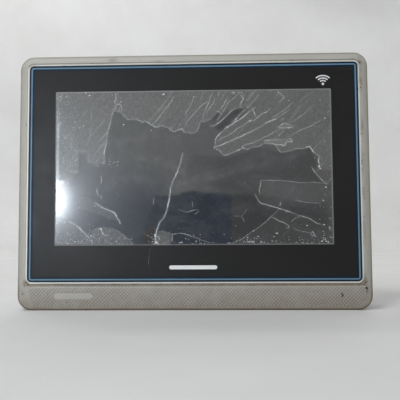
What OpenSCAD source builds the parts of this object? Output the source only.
// HMI touch panel with a 7 inch display, for a 192 x 138 mm panel cut-out.
// X runs to the right seen from the front, Z is up and the front faces -Y.
// The origin is the centre of the cut-out, on the panel face that the gasket meets.

/* [Front] */
// Width of the front bezel
bezel_w = 200; // [199:0.5:206]
// Height of the front bezel
bezel_h = 146; // [145:0.5:152]
// Corner radius of the front bezel
bezel_r = 8; // [6:0.5:10]
// Distance that the bezel stands in front of the panel
bezel_proud = 6.6; // [6.4:0.1:8]
// Width of the front film and the touch glass
glass_w = 188; // [186:0.5:189]
// Height of the front film and the touch glass
glass_h = 124; // [122:0.5:125]
// Height of the glass centre above the cut-out centre
glass_z = 5; // [4:0.5:6]
// Height of the display centre above the cut-out centre
display_z = 7.6; // [7:0.1:8]
// Width of the clear window in the film
window_w = 157.6; // [156:0.1:160]
// Height of the clear window in the film
window_h = 88.2; // [87:0.1:90]

/* [Case] */
// Width of the part that passes through the cut-out
case_w = 191; // [190:0.5:191.5]
// Height of the part that passes through the cut-out
case_h = 137; // [136:0.5:137.5]
// Depth of the case behind the panel face
case_depth = 31; // [31:0.5:36]
// Depth of the shelf under the sockets
shelf_depth = 14; // [14:0.1:14.4]
// Width of the deep upper part
upper_w = 182; // [180:1:184]
// Height of the step that holds the sockets
step_z = -30; // [-31:0.5:-29]
// Wall thickness of the rear case
wall = 2.2; // [2:0.1:2.4]

/* [Sockets] */
// Distance of the socket centres behind the panel face
port_y = 21.5; // [21:0.1:21.6]
// Place of the power socket along the step
power_x = -70; // [-71:0.5:-69]
// Place of the first serial port
com1_x = -38; // [-40:1:-36]
// Place of the second serial port
com2_x = -2; // [-3:0.5:1]
// Place of the Ethernet jack
ethernet_x = 30; // [28:1:32]
// Place of the USB host port
usb_host_x = 52; // [50:1:54]
// Place of the USB device port
usb_device_x = 72; // [70:1:73]
// Distance between the two jack nuts of a serial port
jack_spacing = 24.99; // [24.99:0.01:25]

/* [Hidden] */
$fn = 48;
cut = 1; // how far a cutter runs past the face it cuts

// Depths of the front stack, from the face inwards
face_y = -bezel_proud;
film_y = face_y + 0.3;
film_t = 0.25;
glass_t = 1.8;
tape_t = 0.25;
glass_y = film_y + film_t;
tape_y = glass_y + glass_t;
ledge_y = tape_y + tape_t;
ledge_back_y = ledge_y + 2;
bezel_back_y = -0.4;
glass_r = 2.4;
recess_gap = 0.25;

// Display module, its opening in the bezel and the tray behind it
foam_t = 0.5;
lcd_w = 165;
lcd_h = 101;
lcd_y = tape_y + foam_t;
lcd_t = 5;
lcd_back_y = lcd_y + lcd_t;
lcd_lip = 0.6;
opening_w = lcd_w + 2.4;
opening_h = lcd_h + 2.4;
tray_y = lcd_back_y + 0.05;
tray_t = 1;
tray_back_y = tray_y + tray_t;

// Main board
board_y = tray_back_y + 3.7;
board_t = 1.6;
board_back_y = board_y + board_t;
board_w = 162;
board_z0 = -56;
board_z1 = 54;
tray_screw_spots = [[-86.5, 38], [86.5, 38], [-86.5, -28], [86.5, -28]];
board_screw_spots = [[-76, 49], [0, 49], [76, 49], [-76, -45], [76, -45]];

// Rear case
upper_z1 = case_h / 2 - 3.5;
upper_h = upper_z1 - step_z;
upper_z = (upper_z1 + step_z) / 2;
step_inside_z = step_z + wall;
upper_screw_spots = [[-85.2, 59.2], [85.2, 59.2]];
lower_screw_spots = [[-85.2, -61], [85.2, -61]];
case_screw_spots = concat(upper_screw_spots, lower_screw_spots);
upper_seat_y = 12;
lower_seat_y = shelf_depth - wall;
boss_y = 4;
tube_r = 3.9; // screw tubes of the rear case, merged with its walls
clamp_slot_x = 60;
clamp_slot_w = 12;
clamp_slot_y0 = 4.2;
clamp_slot_y1 = 9.2;

// Battery compartment
door_x = 58;
door_w = 30;
door_z0 = 25.5;
door_z1 = 55.3;
door_t = 1.8;
hinge_z = 26.4;
hinge_y = case_depth - 1.2;
well_floor_y = 20;
cell_z = 40.2;

// Rear label, switches and ports
label_x = -45;
label_z = 26;
label_w = 60;
label_h = 34;
dip_x = 22;
switch_z = -44.5;
reset_x = 46;
dip_pitch = 2.54;
slider_travel = 1.5;
terminal_pitch = 5.08;
terminal_z = -35.5;
com_face_z = step_inside_z;

// ---------- shared shapes ----------

// Rounded rectangle in the drawing plane, centred
module rounded(w, h, r) {
    square([w - 2 * r, h], center = true);
    square([w, h - 2 * r], center = true);
    for (x = [-1, 1], z = [-1, 1])
        translate([x * (w / 2 - r), z * (h / 2 - r)]) circle(r = r);
}

// Slab parallel to the front, from depth y0 to depth y1
module slab(w, h, r, y0, y1, x = 0, z = 0) {
    translate([x, y1, z]) rotate([90, 0, 0]) linear_extrude(y1 - y0) rounded(w, h, r);
}

// Box given by its low and high corners
module block(x0, x1, y0, y1, z0, z1) {
    translate([x0, y0, z0]) cube([x1 - x0, y1 - y0, z1 - z0]);
}

// Round bar along Y
module rod(r, y0, y1, x = 0, z = 0) {
    translate([x, y1, z]) rotate([90, 0, 0]) cylinder(r = r, h = y1 - y0);
}

// Slot with round ends that runs through from depth y0 to depth y1, long in Z
module vent_slot(w, len, y0, y1, x, z) {
    translate([x, y1, z]) rotate([90, 0, 0]) linear_extrude(y1 - y0) {
        square([w, len - w], center = true);
        for (s = [-1, 1]) translate([0, s * (len - w) / 2]) circle(d = w);
    }
}

// Pan-head screw along Y with its head at head_y, pointing to -Y, with a cross recess
module screw(head_r, head_h, shaft_r, shaft_len, head_y, x, z) {
    difference() {
        union() {
            rod(head_r, head_y, head_y + head_h, x, z);
            rod(shaft_r, head_y - shaft_len, head_y, x, z);
        }
        for (a = [0, 90])
            translate([x, head_y + head_h, z]) rotate([0, a, 0])
                cube([head_r * 1.1, head_h, head_r * 0.3], center = true);
    }
}

// Keystone outline of a 9-pin serial port, wide side towards +Y
module keystone(w, h) {
    polygon([[-w / 2, h / 2], [w / 2, h / 2], [w / 2 - 1.5, -h / 2], [-w / 2 + 1.5, -h / 2]]);
}

// Upright prism of the keystone outline between two heights
module keystone_prism(w, h, z0, z1, x) {
    translate([x, port_y, z0]) linear_extrude(z1 - z0) keystone(w, h);
}

// Upright round bar between two heights
module post(r, z0, z1, x, y) {
    translate([x, y, z0]) cylinder(r = r, h = z1 - z0);
}

// ---------- front ----------

module front_bezel() {
    color("#A5A29B")
    difference() {
        union() {
            slab(bezel_w, bezel_h, bezel_r, face_y + 0.7, bezel_back_y);
            slab(bezel_w - 1, bezel_h - 1, bezel_r - 0.5, face_y, face_y + 0.7);
            slab(186, 132, 3, bezel_back_y, 3);
            for (s = case_screw_spots) rod(3, ledge_y, boss_y - 0.2, s[0], s[1]);
        }
        // recess for the glass, with a shallow lip round it
        slab(glass_w + 2 * recess_gap, glass_h + 2 * recess_gap, glass_r + recess_gap,
            face_y - cut, ledge_y, 0, glass_z);
        slab(glass_w + 2.4, glass_h + 2.4, glass_r + 1.2, face_y - cut, face_y + 0.4, 0, glass_z);
        slab(opening_w, opening_h, 2, ledge_y - cut, 3 + cut, 0, display_z);
        // hollow behind the ledge, around the screw bosses
        difference() {
            slab(183, 129, 2, ledge_back_y, 3 + cut);
            for (s = case_screw_spots) rod(3, ledge_y, boss_y, s[0], s[1]);
            for (s = tray_screw_spots) rod(2.4, ledge_y, tray_y, s[0], s[1]);
        }
        difference() {
            slab(183, 129, 2, tray_y, 3 + cut);
            for (s = case_screw_spots) rod(3, ledge_y, boss_y, s[0], s[1]);
        }
        // groove for the gasket
        difference() {
            slab(198.6, 144.6, 7.3, -1, bezel_back_y + cut);
            slab(192.4, 138.4, 4, -1 - cut, bezel_back_y + 2 * cut);
        }
        for (s = case_screw_spots) rod(1.5, ledge_back_y - 1, boss_y + cut, s[0], s[1]);
        for (s = tray_screw_spots) rod(1.05, ledge_back_y - 1, tray_y + cut, s[0], s[1]);
    }
}

module front_film() {
    color("#26272A") slab(glass_w, glass_h, glass_r, film_y, glass_y, 0, glass_z);
}

module touch_glass() {
    color("#5A6470") slab(glass_w, glass_h, glass_r, glass_y, tape_y, 0, glass_z);
}

module glass_tape() {
    color("#1B1B1D")
    difference() {
        slab(glass_w - 1, glass_h - 1, 2, tape_y, ledge_y, 0, glass_z);
        slab(opening_w + 0.6, opening_h + 0.6, 2, tape_y - cut, ledge_y + cut, 0, display_z);
    }
}

module lcd_foam() {
    color("#222224")
    difference() {
        slab(lcd_w - 1, lcd_h - 1, 1, tape_y, lcd_y, 0, display_z);
        slab(window_w + 0.6, window_h + 0.6, 1, tape_y - cut, lcd_y + cut, 0, display_z);
    }
}

module panel_gasket() {
    color("#2B2D2F")
    difference() {
        slab(198.2, 144.2, 7.1, -1, 0);
        slab(192.8, 138.8, 4.2, -1 - cut, cut);
    }
}

// ---------- display ----------

module lcd_frame() {
    color("silver")
    difference() {
        slab(lcd_w, lcd_h, 1, lcd_y, lcd_back_y, 0, display_z);
        slab(155.6, 87.4, 0.5, lcd_y - cut, lcd_back_y + cut, 0, display_z);
        slab(lcd_w - 1.6, lcd_h - 1.6, 0.5, lcd_y + lcd_lip, lcd_back_y + cut, 0, display_z);
    }
}

module lcd_glass() {
    color("#1C2436")
        slab(lcd_w - 2, lcd_h - 2, 0.3, lcd_y + lcd_lip, lcd_y + 2, 0, display_z);
}

module backlight_unit() {
    color("#E8E8E4")
        slab(lcd_w - 2, lcd_h - 6, 0.3, lcd_y + 2, lcd_back_y, 0, display_z + 2);
}

module led_bar() {
    color("#D9DCC0")
        slab(150, 2.6, 0.3, lcd_y + 2.2, lcd_back_y - 0.2, 0, display_z - lcd_h / 2 + 2.6);
}

module display_tray() {
    color("#B9BCC0")
    difference() {
        union() {
            slab(178, 105.5, 2, tray_y, tray_back_y, 0, 2.75);
            for (s = board_screw_spots) rod(2.6, tray_back_y, board_y, s[0], s[1]);
        }
        block(-17, 45, tray_y - cut, tray_back_y + cut, -60, -34);
        for (s = board_screw_spots) rod(1.3, tray_y - cut, board_y + cut, s[0], s[1]);
        for (s = tray_screw_spots) rod(1.3, tray_y - cut, tray_back_y + cut, s[0], s[1]);
    }
}

module tray_screws() {
    color("#8E9092")
        for (s = tray_screw_spots) screw(2.2, 1.4, 1, 3.6, tray_back_y, s[0], s[1]);
}

// ---------- main board and what is on it ----------

module main_board() {
    color("#1E5B3A")
    difference() {
        block(-board_w / 2, board_w / 2, board_y, board_back_y, board_z0, board_z1);
        for (s = board_screw_spots)
            rod(1.6, board_y - cut, board_back_y + cut, s[0], s[1]);
    }
}

module board_screws() {
    color("#B4B6B8")
        for (s = board_screw_spots) screw(2.4, 1.6, 1.25, 4.4, board_back_y, s[0], s[1]);
}

// Chip on the board's back face
module chip(w, h, t, x, z) {
    block(x - w / 2, x + w / 2, board_back_y, board_back_y + t, z - h / 2, z + h / 2);
}

module processor() {
    color("#2A2B2D") chip(17, 17, 1.6, -22, 18);
}

module heat_spreader() {
    base_y = board_back_y + 1.6;
    color("#C3C6C8") {
        block(-39, -5, base_y, base_y + 2, 1, 35);
        for (i = [0:7])
            block(-39 + i * 4.6, -37.2 + i * 4.6, base_y + 2, base_y + 9, 1, 35);
    }
}

module memory_chips() {
    color("#2F3032") for (z = [8, 26]) chip(11, 13, 1.1, 10, z);
}

module flash_chip() {
    color("#2F3032") chip(12, 18, 1.1, 28, 14);
}

module bulk_capacitors() {
    color("#3A4A66")
        for (x = [-75, -65]) rod(4, board_back_y, board_back_y + 10.5, x, -8);
}

module power_inductor() {
    color("#4A4B4D") {
        chip(12, 12, 1.2, -74, 10);
        rod(5.6, board_back_y + 1.2, board_back_y + 5.5, -74, 10);
    }
}

module buzzer() {
    color("#1F1F21")
    difference() {
        rod(4.5, board_back_y, board_back_y + 5.2, -55, 8);
        rod(0.8, board_back_y + 4, board_back_y + 5.2 + cut, -55, 8);
    }
}

module wireless_module() {
    color("#2C6E56") chip(24, 16, 0.8, -60, 36);
    color("silver")
        block(-70, -54, board_back_y + 0.8, board_back_y + 2.8, 29.5, 42.5);
}

// Flat cable: a thin strip in the YZ plane through three square bends
module lcd_flex() {
    color("#B07A3C")
        block(-12, 14, lcd_back_y, lcd_back_y + 0.15, -58.4, -37);
    color("#B07A3C")
        block(-12, 14, lcd_back_y + 0.15, board_back_y + 1.1, -58.4, -58.25);
    color("#B07A3C")
        block(-12, 14, board_back_y + 0.95, board_back_y + 1.1, -58.25, -55);
}

module lcd_flex_socket() {
    color("#D8D2C2") block(-15, 17, board_back_y, board_back_y + 2, -55, -50.5);
}

module touch_tail() {
    tail_z = display_z - opening_h / 2 + 0.3;
    color("#B07A3C") {
        block(26, 36, tape_y, tray_back_y + 1.5, tail_z, tail_z + 0.15);
        block(26, 36, tray_back_y + 1.35, tray_back_y + 1.5, -59.2, tail_z);
        block(26, 36, tray_back_y + 1.5, board_back_y + 1.1, -59.2, -59.05);
        block(26, 36, board_back_y + 0.95, board_back_y + 1.1, -59.05, -55);
    }
}

module touch_tail_socket() {
    color("#D8D2C2") block(24.5, 37.5, board_back_y, board_back_y + 2, -55, -50.5);
}

// ---------- rear case ----------

// Screw tube inside the case with a counterbored seat for the head
module tube_cuts(spots, seat_y, back_y) {
    for (s = spots) {
        rod(3, seat_y, back_y + cut, s[0], s[1]);
        rod(1.6, boss_y - cut, seat_y + cut, s[0], s[1]);
    }
}

module case_shell() {
    difference() {
        union() {
            slab(case_w, case_h, 3, bezel_back_y, shelf_depth);
            slab(upper_w, upper_h, 3, shelf_depth - cut, case_depth, 0, upper_z);
        }
        difference() {
            union() {
                slab(case_w - 2 * wall, case_h - 2 * wall, 1.5,
                    bezel_back_y - cut, shelf_depth - wall);
                slab(upper_w - 2 * wall, upper_h - 2 * wall, 1.5,
                    shelf_depth - wall - cut, case_depth - wall, 0, upper_z);
            }
            for (s = upper_screw_spots) rod(tube_r, boss_y, case_depth, s[0], s[1]);
            for (s = lower_screw_spots) rod(tube_r, boss_y, shelf_depth, s[0], s[1]);
            // walls and floor of the battery well
            block(door_x - 17, door_x + 17, well_floor_y - 1.2, case_depth, 23.1, 57.2);
        }
    }
}

module port_cuts() {
    z0 = step_z - cut;
    z1 = step_inside_z + cut;
    block(power_x - 9.8, power_x + 9.8, port_y - 6, port_y + 6, z0, z1);
    for (x = [com1_x, com2_x]) {
        keystone_prism(17.8, 9.2, z0, z1, x);
        for (s = [-1, 1]) post(1.6, z0, z1, x + s * jack_spacing / 2, port_y);
    }
    block(ethernet_x - 8.2, ethernet_x + 8.2, port_y - 6.8, port_y + 6.9, z0, z1);
    block(usb_host_x - 6.9, usb_host_x + 6.9, port_y - 3.2, port_y + 3.2, z0, z1);
    block(usb_device_x - 6.3, usb_device_x + 6.3, port_y - 5.7, port_y + 5.7, z0, z1);
}

module vent_cuts() {
    for (i = [0:11], s = [-1, 1])
        vent_slot(2.2, 14, case_depth - wall - cut, case_depth + cut, s * (15 + 5 * i), -14);
    for (i = [-10:10])
        translate([i * 6, 0, upper_z1]) rotate([-90, 0, 0])
            vent_slot(2.2, 9, -cut, wall + cut, 0, 21);
}

module rear_case() {
    color("#3A3C3F")
    difference() {
        case_shell();
        tube_cuts(upper_screw_spots, upper_seat_y, case_depth);
        tube_cuts(lower_screw_spots, lower_seat_y, shelf_depth);
        port_cuts();
        vent_cuts();
        // battery well and the bores of its door's hinge
        block(door_x - 15.3, door_x + 15.3, well_floor_y, case_depth + cut, 24.7, 55.6);
        translate([door_x - 16.4, hinge_y, hinge_z]) rotate([0, 90, 0])
            cylinder(r = 0.86, h = 32.8);
        // pocket for the label
        slab(label_w + 1, label_h + 1, 2, case_depth - 0.5, case_depth + cut, label_x, label_z);
        // slots for the mounting clamps, top and bottom
        for (x = [-1, 1], z = [-1, 1])
            block(x * clamp_slot_x - clamp_slot_w / 2, x * clamp_slot_x + clamp_slot_w / 2,
                clamp_slot_y0, clamp_slot_y1,
                z * (case_h / 2 - wall / 2) - wall, z * (case_h / 2 - wall / 2) + wall);
        // switch window, reset hole and ground screw hole in the shelf
        slab(12.4, 7.4, 0.8, shelf_depth - wall - cut, shelf_depth + cut, dip_x, switch_z);
        rod(1.9, shelf_depth - wall - cut, shelf_depth + cut, reset_x, switch_z);
        rod(1.6, shelf_depth - wall - cut, shelf_depth + cut, -70, switch_z - 7);
    }
}

module case_screws() {
    color("#9A9C9E") {
        for (s = upper_screw_spots)
            screw(2.75, 2.2, 1.45, 12.4, upper_seat_y, s[0], s[1]);
        for (s = lower_screw_spots)
            screw(2.75, 2, 1.45, 12.2, lower_seat_y, s[0], s[1]);
    }
}

module ground_screw() {
    color("#B9A24A") screw(3.2, 2, 1.5, 4.5, shelf_depth, -70, switch_z - 7);
}

module rear_label() {
    color("#D6D7D2")
        slab(label_w, label_h, 1.5, case_depth - 0.5, case_depth - 0.25, label_x, label_z);
}

module battery_door() {
    color("#3A3C3F")
    difference() {
        union() {
            block(door_x - door_w / 2, door_x + door_w / 2,
                case_depth - door_t, case_depth, door_z0, door_z1);
            translate([door_x - door_w / 2 - 1.1, hinge_y, hinge_z]) rotate([0, 90, 0])
                cylinder(r = 0.8, h = door_w + 2.2);
        }
        // finger grooves near the free edge
        for (i = [0:3])
            block(door_x - 8, door_x + 8, case_depth - 0.6, case_depth + cut,
                47.5 + 1.6 * i, 48.3 + 1.6 * i);
    }
}

module coin_cell_holder() {
    color("#232427")
    difference() {
        slab(25, 25, 2, well_floor_y, well_floor_y + 3.4, door_x, cell_z);
        rod(10.2, well_floor_y + 1, well_floor_y + 3.4 + cut, door_x, cell_z);
    }
}

module coin_cell() {
    color("#C9CBCD") {
        rod(10, well_floor_y + 1, well_floor_y + 3.7, door_x, cell_z);
        rod(8.8, well_floor_y + 3.7, well_floor_y + 4.2, door_x, cell_z);
    }
}

// ---------- sockets on the step ----------

module power_socket() {
    color("#2F6B45") {
        difference() {
            union() {
                block(power_x - 9.5, power_x + 9.5, port_y - 5.7, port_y + 5.7, step_z, -18);
                block(power_x - 9.5, power_x + 9.5, board_back_y, port_y - 5.7, -27.4, -18);
            }
            block(power_x - 8.5, power_x + 8.5, port_y - 4.7, port_y + 4.7, step_z - cut, -21);
        }
    }
    color("#C8B070")
        for (i = [-1:1])
            block(power_x + i * terminal_pitch - 0.5, power_x + i * terminal_pitch + 0.5,
                port_y - 0.5, port_y + 0.5, -28, -21);
}

module power_plug() {
    color("#3C8A5A")
    difference() {
        union() {
            block(power_x - 8.2, power_x + 8.2, port_y - 4.4, port_y + 4.4, -32, -21.5);
            block(power_x - 8.6, power_x + 8.6, port_y - 4.9, port_y + 4.9, -42, -31);
        }
        for (i = [-1:1]) {
            x = power_x + i * terminal_pitch;
            block(x - 0.8, x + 0.8, port_y - 0.8, port_y + 0.8, -29, -21.5 + cut);
            rod(1.9, port_y - 0.5, port_y + 4.9 + cut, x, terminal_z);
            rod(1.3, port_y - 2.2, port_y, x, terminal_z);
            post(1.6, -42 - cut, terminal_z + 2, x, port_y - 2.2);
        }
    }
}

// Slotted clamp screw of the plug, numbered from the left
module terminal_screw(i) {
    x = power_x + (i - 2) * terminal_pitch;
    color("#C9CBCD")
    difference() {
        union() {
            rod(1.82, port_y - 0.4, port_y + 3.6, x, terminal_z);
            rod(1.22, port_y - 2, port_y - 0.4, x, terminal_z);
        }
        block(x - 2, x + 2, port_y + 2.8, port_y + 3.6 + cut, terminal_z - 0.3, terminal_z + 0.3);
    }
}

module terminal_screw_1() { terminal_screw(1); }
module terminal_screw_2() { terminal_screw(2); }
module terminal_screw_3() { terminal_screw(3); }

// Metal shell of a serial port with its flange
module com_shell(x) {
    color("silver")
    difference() {
        union() {
            translate([x, port_y, com_face_z]) linear_extrude(0.8) rounded(30.8, 12.4, 1.5);
            keystone_prism(16.9, 8.4, com_face_z - 5.8, com_face_z + 0.4, x);
        }
        keystone_prism(16, 7.5, com_face_z - 5.8 - cut, com_face_z + 0.8 + cut, x);
        for (s = [-1, 1])
            post(1.6, com_face_z - cut, com_face_z + 0.8 + cut, x + s * jack_spacing / 2, port_y);
    }
}

// Insulating body behind the flange, with the nose inside the shell
module com_insert(x) {
    color("#1D3D6B")
    difference() {
        union() {
            block(x - 15.2, x + 15.2, board_back_y, port_y + 6, com_face_z + 0.8, -14);
            keystone_prism(15.8, 7.3, com_face_z - 1.2, com_face_z + 0.8, x);
        }
        for (s = [-1, 1])
            post(1.6, com_face_z, -19, x + s * jack_spacing / 2, port_y);
    }
}

// Nine contact pins: five on the wide side, four on the narrow side
module com_pins(x) {
    color("#D0B468") {
        for (i = [-2:2])
            post(0.5, com_face_z - 5, com_face_z - 1.2, x + i * 2.77, port_y + 1.42);
        for (i = [-1.5:1.5])
            post(0.5, com_face_z - 5, com_face_z - 1.2, x + i * 2.77, port_y - 1.42);
    }
}

module com1_shell() { com_shell(com1_x); }
module com1_insert() { com_insert(com1_x); }
module com1_pins() { com_pins(com1_x); }
module com2_shell() { com_shell(com2_x); }
module com2_insert() { com_insert(com2_x); }
module com2_pins() { com_pins(com2_x); }

// Hexagonal nut with a tapped end below the step and a stud through the flange
module jack_nut(x) {
    difference() {
        union() {
            translate([x, port_y, step_z - 5]) cylinder(r = 2.74, h = 5, $fn = 6);
            post(1.4, step_z - 0.5, step_z + 8, x, port_y);
        }
        post(1.42, step_z - 5 - cut, step_z - 0.6, x, port_y);
    }
}

module jack_nuts() {
    color("#C2C4C6")
        for (x = [com1_x, com2_x], s = [-1, 1]) jack_nut(x + s * jack_spacing / 2);
}

// Shielded 8-way jack with its latch channel towards +Y
module ethernet_jack() {
    color("silver")
    difference() {
        union() {
            block(ethernet_x - 8, ethernet_x + 8, port_y - 6.6, port_y + 6.7, step_z - 0.6, -9.6);
            block(ethernet_x - 8, ethernet_x + 8, board_back_y, port_y - 6.6, -26, -9.6);
        }
        block(ethernet_x - 5.95, ethernet_x + 5.95, port_y - 4.6, port_y + 2.4, -40, -17);
        block(ethernet_x - 3.1, ethernet_x + 3.1, port_y + 2.3, port_y + 5, -40, -19);
    }
}

module ethernet_contacts() {
    color("#D0B468")
        for (i = [0:7])
            block(ethernet_x - 3.8 + i * 1.02, ethernet_x - 3.4 + i * 1.02,
                port_y - 4.6, port_y - 3.6, -27, -17);
}

// Sheet-metal shell of a USB port
module usb_shell(x, w, h, z1) {
    color("silver")
    difference() {
        block(x - w / 2, x + w / 2, port_y - h / 2, port_y + h / 2, step_z - 0.8, z1);
        block(x - w / 2 + 0.4, x + w / 2 - 0.4, port_y - h / 2 + 0.4, port_y + h / 2 - 0.4,
            step_z - 0.8 - cut, z1 - 3);
    }
}

module usb_host_shell() { usb_shell(usb_host_x, 13.2, 5.8, -16); }

module usb_host_tongue() {
    color("#23262B") {
        block(usb_host_x - 5.5, usb_host_x + 5.5, port_y, port_y + 1.9, step_z + 1.2, -19);
        block(usb_host_x - 6.2, usb_host_x + 6.2, board_back_y, port_y - 2.9, -27.4, -16);
    }
}

module usb_device_shell() { usb_shell(usb_device_x, 12, 10.8, -15); }

module usb_device_tongue() {
    color("#E4E4E0") {
        difference() {
            block(usb_device_x - 5.5, usb_device_x + 5.5, port_y - 4.9, port_y + 4.9, -29.6, -18);
            block(usb_device_x - 4.2, usb_device_x + 4.2, port_y - 3.9, port_y + 3.9, -31, -20);
        }
        block(usb_device_x - 2.8, usb_device_x + 2.8, port_y - 1.6, port_y + 1.6, -29, -20);
        block(usb_device_x - 5.5, usb_device_x + 5.5, board_back_y, port_y - 5.4, -27.4, -15);
    }
}

// ---------- switches behind the shelf ----------

function slider_x(i) = dip_x + (i - 2.5) * dip_pitch;

module dip_switch_body() {
    color("#B23A34")
    difference() {
        slab(11.6, 6.4, 0.5, board_back_y, board_back_y + 4.4, dip_x, switch_z);
        for (i = [1:4])
            block(slider_x(i) - 0.75, slider_x(i) + 0.75, board_back_y + 2.4,
                board_back_y + 4.4 + cut, switch_z - 2, switch_z + 2);
    }
}

// Slider at its lower end; it travels upwards
module dip_slider(i) {
    color("#F0F0EC")
        block(slider_x(i) - 0.6, slider_x(i) + 0.6, board_back_y + 2.5, board_back_y + 5.2,
            switch_z - 1.85, switch_z + 1.85 - slider_travel - 0.6);
}

module dip_slider_1() { dip_slider(1); }
module dip_slider_2() { dip_slider(2); }
module dip_slider_3() { dip_slider(3); }
module dip_slider_4() { dip_slider(4); }

module reset_switch_base() {
    color("#2A2B2D")
        slab(6, 6, 0.5, board_back_y, board_back_y + 2.4, reset_x, switch_z);
}

module reset_button() {
    color("#D8D8D4") {
        rod(2.8, board_back_y + 3.3, board_back_y + 3.8, reset_x, switch_z);
        rod(1.7, board_back_y + 3.8, shelf_depth + 0.6, reset_x, switch_z);
    }
}

front_bezel();
front_film();
touch_glass();
glass_tape();
lcd_foam();
panel_gasket();
lcd_frame();
lcd_glass();
backlight_unit();
led_bar();
display_tray();
tray_screws();
main_board();
board_screws();
processor();
heat_spreader();
memory_chips();
flash_chip();
bulk_capacitors();
power_inductor();
buzzer();
wireless_module();
lcd_flex();
lcd_flex_socket();
touch_tail();
touch_tail_socket();
rear_case();
case_screws();
ground_screw();
rear_label();
battery_door();
coin_cell_holder();
coin_cell();
power_socket();
power_plug();
terminal_screw_1();
terminal_screw_2();
terminal_screw_3();
com1_shell();
com1_insert();
com1_pins();
com2_shell();
com2_insert();
com2_pins();
jack_nuts();
ethernet_jack();
ethernet_contacts();
usb_host_shell();
usb_host_tongue();
usb_device_shell();
usb_device_tongue();
dip_switch_body();
dip_slider_1();
dip_slider_2();
dip_slider_3();
dip_slider_4();
reset_switch_base();
reset_button();
